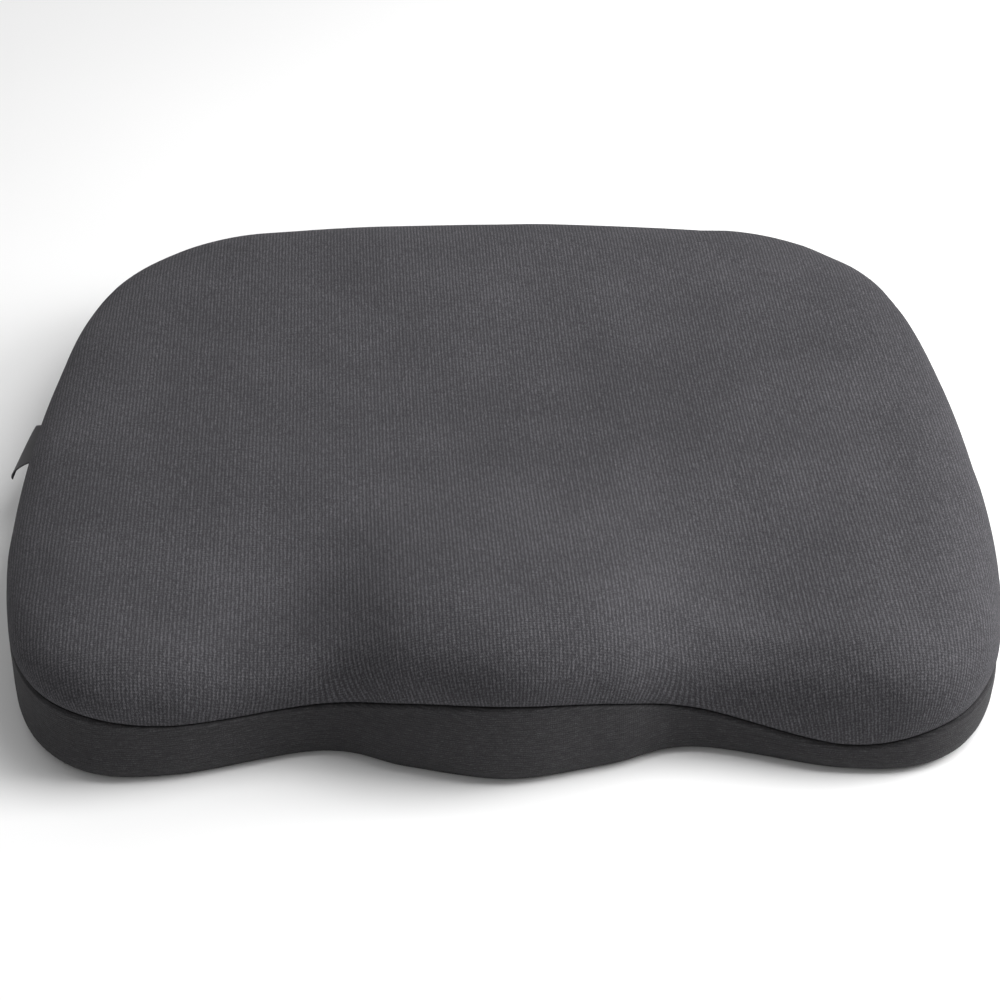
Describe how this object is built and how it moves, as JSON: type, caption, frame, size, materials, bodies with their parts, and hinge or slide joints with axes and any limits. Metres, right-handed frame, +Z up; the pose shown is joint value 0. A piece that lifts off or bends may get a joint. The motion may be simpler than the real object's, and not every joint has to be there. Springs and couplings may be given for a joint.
{
  "type": "seat cushion",
  "caption": "Contoured foam seat cushion with a scalloped front, raised pommel, dished seat, knit cover with boxing band and rear zip.",
  "frame": {"origin": "middle of the underside, on the resting surface, at the bottom of the central grip dot", "axes": "+X to the right of someone facing the front edge from outside, along the width; +Y towards the rear edge with the zip; +Z up out of the seat"},
  "size_m": [0.4577, 0.3908, 0.0703],
  "materials": {
    "foam": "matte",
    "jersey": "matte",
    "rib_knit": "matte",
    "band_knit": "matte",
    "base_fabric": "matte",
    "grip_dots": "satin",
    "ribbon": "satin",
    "care_satin": "satin",
    "thread": "matte",
    "zip_tape": "matte",
    "zip_coil": "satin",
    "zip_metal": "satin",
    "spring_steel": "satin"
  },
  "bodies": {
    "root": {"foam_core": "foam", "liner_top": "jersey", "liner_base": "jersey", "cover_side_band": "band_knit", "rear_band_upper": "band_knit", "rear_band_lower": "band_knit", "cover_base_panel": "base_fabric", "base_grip_dots": "grip_dots", "care_label": "care_satin", "base_seam_overlock": "thread", "zip_tape_upper": "zip_tape", "zip_tape_lower": "zip_tape", "zip_coil_upper": "zip_coil", "zip_coil_lower": "zip_coil", "zip_top_stops": "zip_metal", "zip_bottom_stop": "zip_metal"},
    "seat_top": {"cover_top_panel": "rib_knit", "top_seam_overlock": "thread"},
    "label": {"side_label_tab": "ribbon"},
    "slider": {"zip_slider_body": "zip_metal", "zip_slider_bail": "zip_metal", "zip_lock_spring": "spring_steel"},
    "pull": {"zip_pull_tab": "zip_metal"}
  },
  "joints": [
    {"name": "sit_compression", "type": "slide", "parent": "root", "child": "seat_top", "axis": [0, 0, -1], "range_m": [0, 0.01], "stiffness_N_per_m": 15000, "deforming": ["foam_core", "liner_top", "cover_side_band", "rear_band_upper", "top_seam_overlock"]},
    {"name": "zip_travel", "type": "hinge", "parent": "root", "child": "slider", "pos_m": [0, -0.565, 0.012], "axis": [0, 0, 1], "range_deg": [0, 17.7], "deforming": ["zip_coil_upper", "zip_coil_lower"]},
    {"name": "pull_swing", "type": "hinge", "parent": "slider", "child": "pull", "pos_m": [0.11824, 0.18888, 0.012], "axis": [0, 0, -1], "range_deg": [0, 180]},
    {"name": "label_flap", "type": "hinge", "parent": "seat_top", "child": "label", "pos_m": [-0.22223, 0.00333, 0.0368], "axis": [-0.057, -0.9984, 0], "range_deg": [-50, 40], "stiffness_Nm_per_rad": 0.00005}
  ]
}
